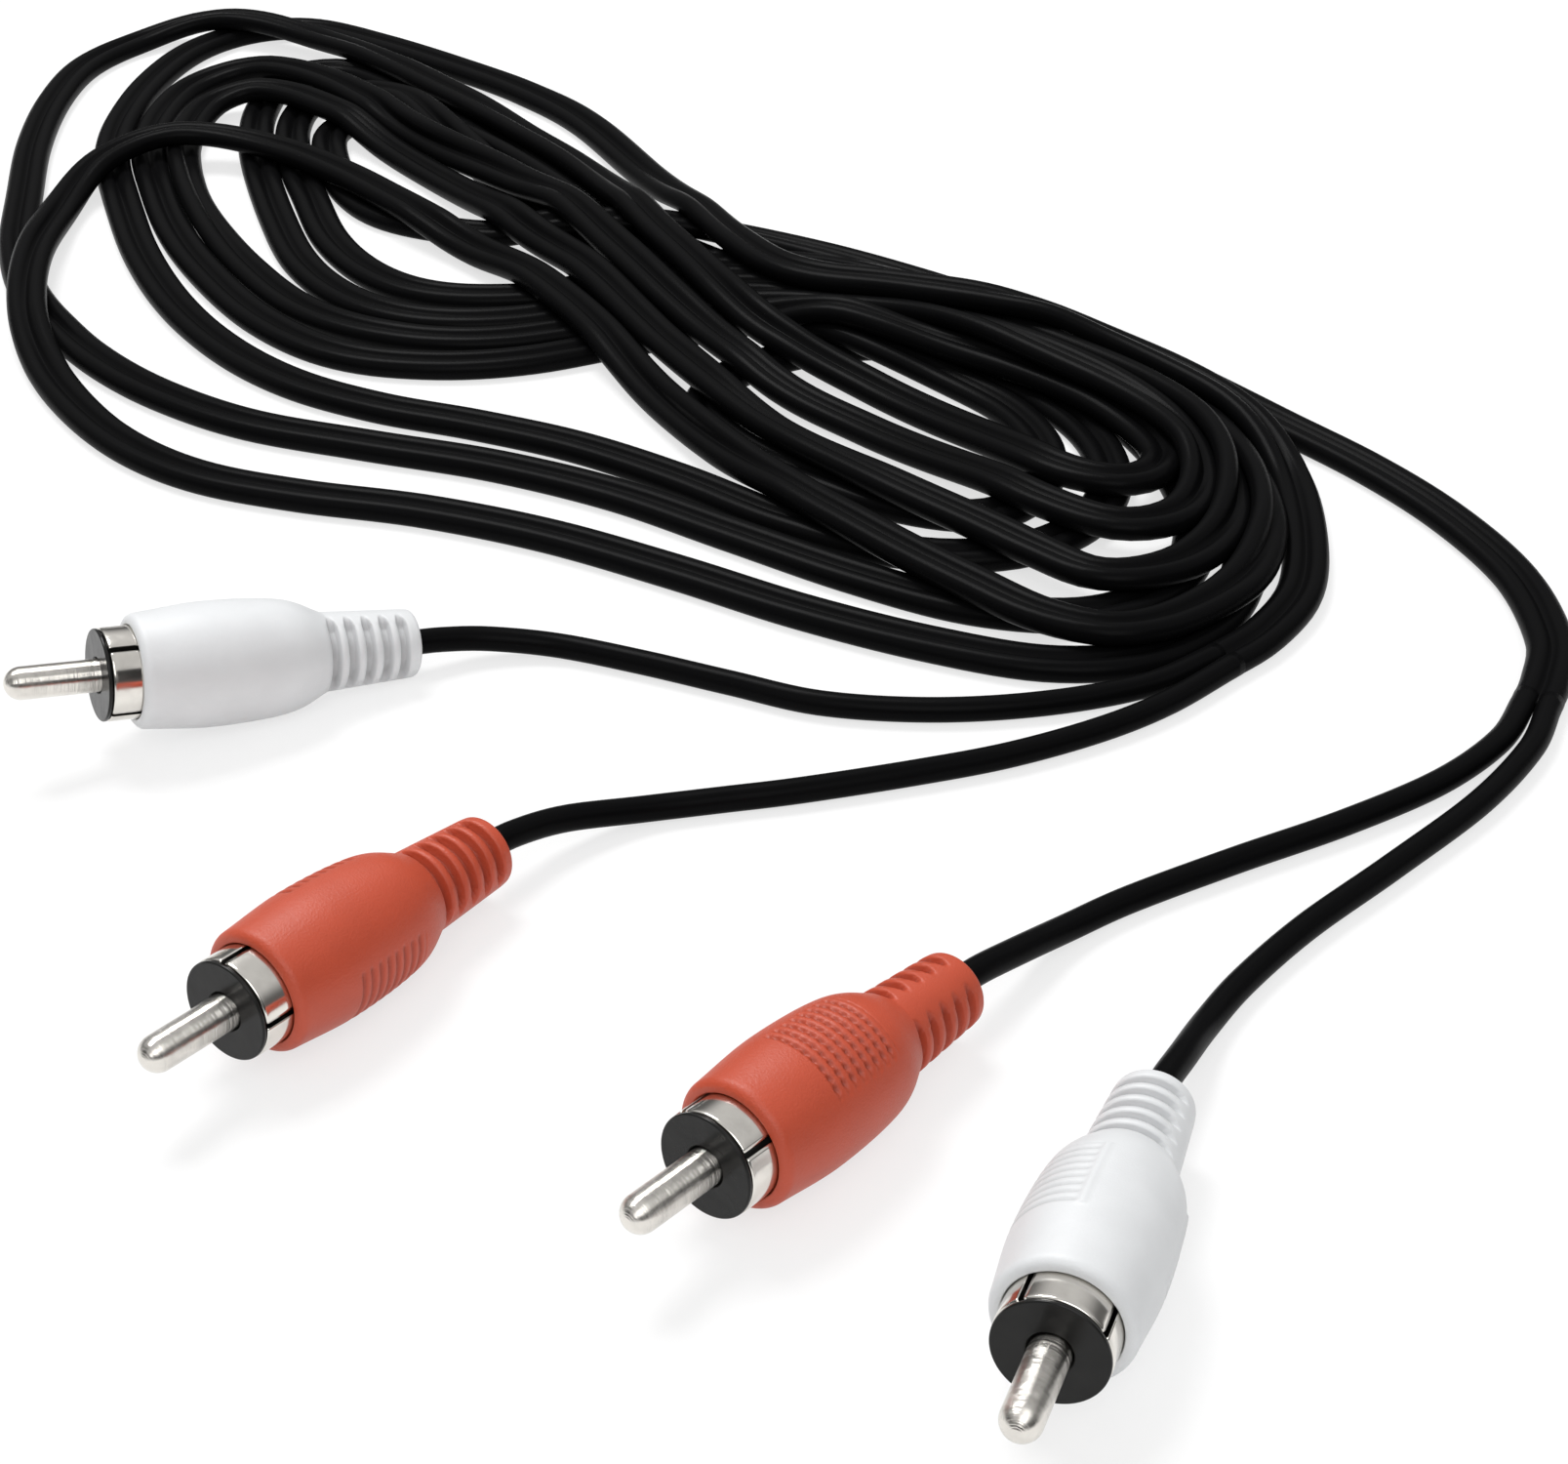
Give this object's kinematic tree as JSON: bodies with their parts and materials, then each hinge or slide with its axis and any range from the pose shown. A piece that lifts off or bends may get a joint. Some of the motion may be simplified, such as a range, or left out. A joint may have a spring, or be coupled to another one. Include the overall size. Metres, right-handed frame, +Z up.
{
  "type": "stereo phono audio cable",
  "caption": "Flat twin audio cable lying in a long hank, split at each end into two single leads with moulded phono plugs, one white and one red.",
  "frame": {"origin": "centre of the underside of the group of four plugs, on the surface that the cable lies on", "axes": "+Z up; the plugs lie around the origin with their pins towards -X and -Y, and the hank lies behind them towards +Y"},
  "size_m": [0.1834, 0.2992, 0.0133],
  "materials": {
    "white_pvc": "satin moulded PVC",
    "red_pvc": "satin moulded PVC",
    "nickel": "bright nickel plate",
    "black_plastic": "gloss",
    "cable_pvc": "satin black PVC",
    "copper": "bare copper",
    "natural_plastic": "matt, natural colour"
  },
  "bodies": {
    "root": {"end_a_left_moulded_body": "white_pvc", "end_a_left_centre_pin": "nickel", "end_a_left_insulator": "black_plastic", "end_a_left_contact_ring": "nickel", "end_a_left_inner_mould": "natural_plastic", "end_a_left_conductor": "copper", "end_a_left_core_insulation": "natural_plastic", "end_a_left_screen_pigtail": "copper", "end_a_left_lead_end": "cable_pvc", "end_a_left_lead": "cable_pvc", "end_a_right_moulded_body": "red_pvc", "end_a_right_centre_pin": "nickel", "end_a_right_insulator": "black_plastic", "end_a_right_contact_ring": "nickel", "end_a_right_inner_mould": "natural_plastic", "end_a_right_conductor": "copper", "end_a_right_core_insulation": "natural_plastic", "end_a_right_screen_pigtail": "copper", "end_a_right_lead_end": "cable_pvc", "end_a_right_lead": "cable_pvc", "end_b_right_moulded_body": "red_pvc", "end_b_right_centre_pin": "nickel", "end_b_right_insulator": "black_plastic", "end_b_right_contact_ring": "nickel", "end_b_right_inner_mould": "natural_plastic", "end_b_right_conductor": "copper", "end_b_right_core_insulation": "natural_plastic", "end_b_right_screen_pigtail": "copper", "end_b_right_lead_end": "cable_pvc", "end_b_right_lead": "cable_pvc", "end_b_left_moulded_body": "white_pvc", "end_b_left_centre_pin": "nickel", "end_b_left_insulator": "black_plastic", "end_b_left_contact_ring": "nickel", "end_b_left_inner_mould": "natural_plastic", "end_b_left_conductor": "copper", "end_b_left_core_insulation": "natural_plastic", "end_b_left_screen_pigtail": "copper", "end_b_left_lead_end": "cable_pvc", "end_b_left_lead": "cable_pvc", "end_b_twin_cable": "cable_pvc", "cable_hank": "cable_pvc"}
  },
  "joints": []
}
